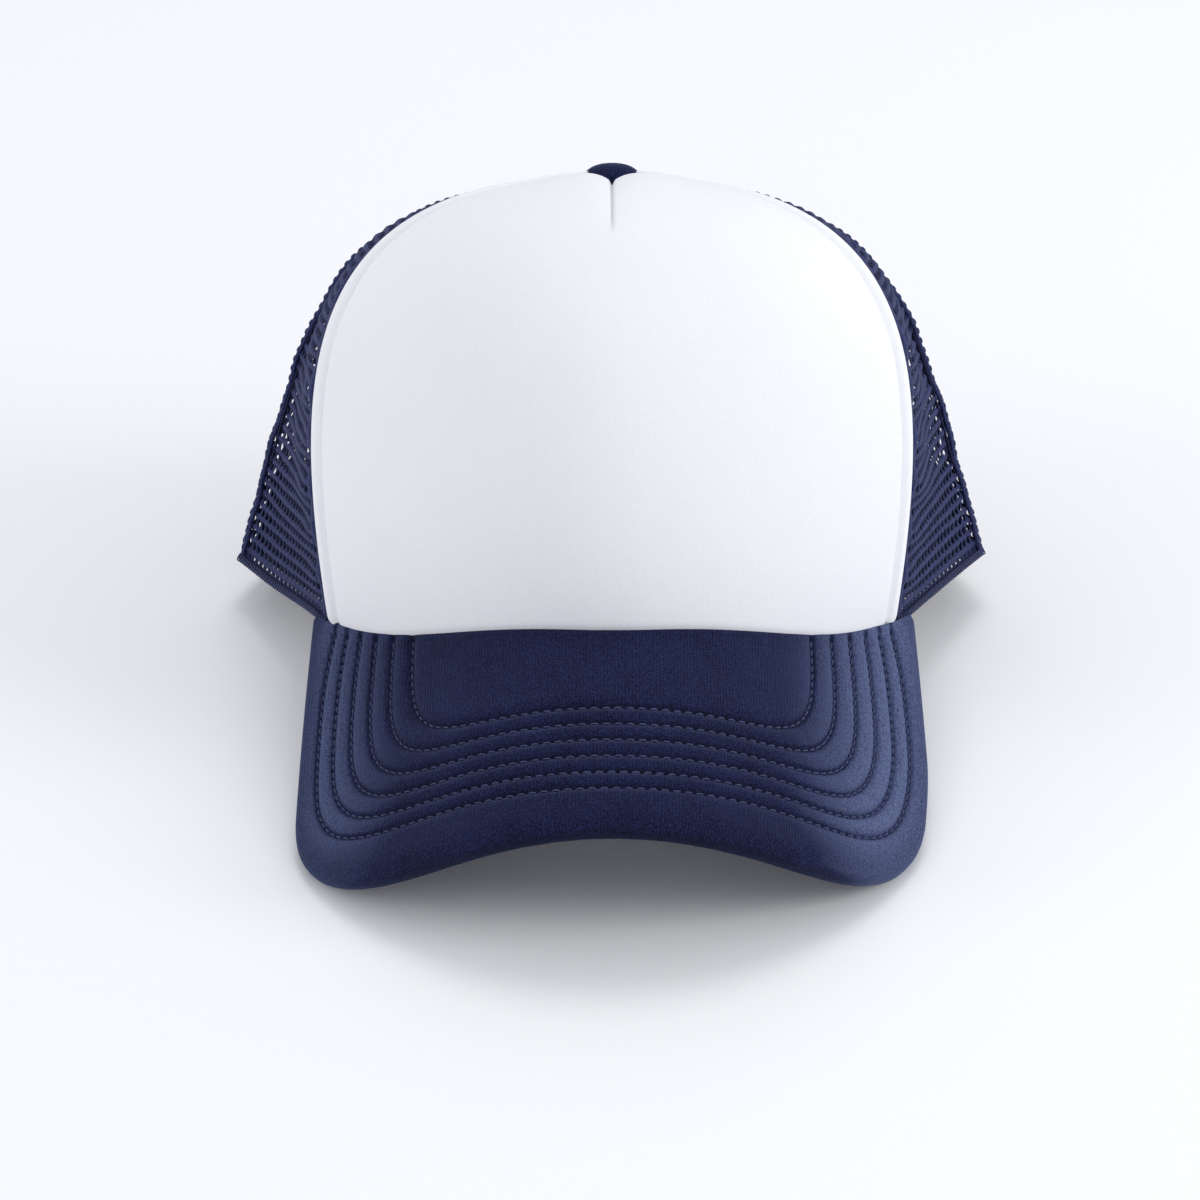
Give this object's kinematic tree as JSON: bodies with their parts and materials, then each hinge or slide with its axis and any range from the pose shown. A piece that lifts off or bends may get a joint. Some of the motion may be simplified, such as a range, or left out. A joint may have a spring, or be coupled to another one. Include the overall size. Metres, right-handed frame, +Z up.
{
  "type": "trucker mesh cap",
  "caption": "Trucker cap with a white foam front, navy mesh sides and back, a curved padded stitched bill, a top button and a plastic snap strap at the back.",
  "frame": {"origin": "middle of the cap's footprint, level with the surface it stands on", "axes": "+Z up; the bill points to -Y and the closure is at +Y; +X is the wearer's left"},
  "size_m": [0.2034, 0.2302, 0.1439],
  "materials": {
    "white_cloth": "white polyester knit bonded to foam",
    "foam": "open-cell foam sheet",
    "navy_mesh": "open navy polyester mesh",
    "navy_trim": "navy woven tape and overlocked edge",
    "navy_cloth": "navy twill",
    "sweatband_cloth": "navy brushed cotton twill",
    "board_plastic": "flexible sheet plastic",
    "button_metal": "pressed sheet",
    "strap_plastic": "moulded satin plastic"
  },
  "bodies": {
    "cap": {"front_panel_face": "white_cloth", "front_panel_foam": "foam", "side_mesh_left": "navy_mesh", "side_mesh_right": "navy_mesh", "rear_mesh_left": "navy_mesh", "rear_mesh_right": "navy_mesh", "side_hem_left": "navy_trim", "side_hem_right": "navy_trim", "arch_binding": "navy_trim", "front_seam_tape_left": "navy_trim", "front_seam_tape_right": "navy_trim", "side_seam_tape_left": "navy_trim", "side_seam_tape_right": "navy_trim", "back_seam_tape": "navy_trim", "bill_seam_tape": "navy_trim", "sweatband": "sweatband_cloth", "bill_top_cover": "navy_cloth", "bill_padding": "foam", "bill_board": "board_plastic", "bill_bottom_cover": "navy_cloth", "button_cover": "navy_cloth", "button_shell": "button_metal", "button_rivet": "button_metal", "strap_tab_left": "strap_plastic", "strap_tab_right": "strap_plastic"},
    "hole_strap": {"hole_strap": "strap_plastic"},
    "peg_strap": {"peg_strap": "strap_plastic"}
  },
  "joints": [
    {"name": "hole_strap_swing", "type": "hinge", "parent": "cap", "child": "hole_strap", "pos_m": [0.04482, 0.10621, 0.008], "axis": [0, 0, -1], "range_deg": [0, 60]},
    {"name": "peg_strap_swing", "type": "hinge", "parent": "cap", "child": "peg_strap", "pos_m": [-0.04482, 0.10621, 0.008], "axis": [0, 0, -1], "range_deg": [0, 40]}
  ]
}
